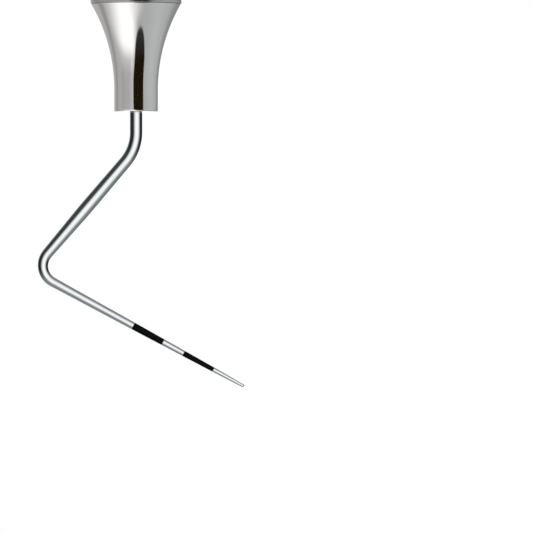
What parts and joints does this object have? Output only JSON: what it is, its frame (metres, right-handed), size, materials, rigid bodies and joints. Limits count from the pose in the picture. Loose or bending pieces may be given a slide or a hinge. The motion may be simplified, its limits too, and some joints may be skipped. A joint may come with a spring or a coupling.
{
  "type": "double-ended dental instrument",
  "caption": "Slim double-ended hand instrument: a bent probe with black graduation bands and a hooked explorer, each on a polished cone screwed into a round steel handle.",
  "frame": {"origin": "middle of the handle, on its axis", "axes": "+Z along the handle towards the explorer; both wires lie in the XZ plane, and the graduated tip points towards +X"},
  "size_m": [0.018, 0.0078, 0.1666],
  "materials": {
    "handle_satin_steel": "satin turned, with fine diamond knurling on the two grips",
    "bushing_steel": "fine turned",
    "cone_polished_steel": "mirror polished stainless steel with faint turning lines",
    "wire_steel": "polished wire",
    "seal_rubber": "matt",
    "band_black": "satin black inlay"
  },
  "bodies": {
    "handle": {"handle_tube": "handle_satin_steel", "probe_end_bushing": "bushing_steel", "explorer_end_bushing": "bushing_steel"},
    "probe_seal": {"probe_end_seal": "seal_rubber"},
    "probe_tip": {"probe_cone": "cone_polished_steel", "probe_shank": "wire_steel", "marking_band_3_6": "band_black", "marking_band_8_11": "band_black"},
    "explorer_seal": {"explorer_end_seal": "seal_rubber"},
    "explorer_tip": {"explorer_cone": "cone_polished_steel", "explorer_shank": "wire_steel"}
  },
  "joints": [
    {"name": "probe_travel", "type": "slide", "parent": "handle", "child": "probe_seal", "axis": [0, 0, -1], "range_m": [0, 0.0046]},
    {"name": "probe_unscrew", "type": "hinge", "parent": "probe_seal", "child": "probe_tip", "pos_m": [0, 0, -0.049], "axis": [0, 0, -1], "range_deg": [0, 2072]},
    {"name": "explorer_travel", "type": "slide", "parent": "handle", "child": "explorer_seal", "axis": [0, 0, 1], "range_m": [0, 0.0046]},
    {"name": "explorer_unscrew", "type": "hinge", "parent": "explorer_seal", "child": "explorer_tip", "pos_m": [0, 0, 0.049], "axis": [0, 0, 1], "range_deg": [0, 2072]}
  ],
  "couplings": [
    {"joint": "probe_unscrew", "follows": "probe_travel", "rad_per_m": 7854},
    {"joint": "explorer_unscrew", "follows": "explorer_travel", "rad_per_m": 7854}
  ]
}
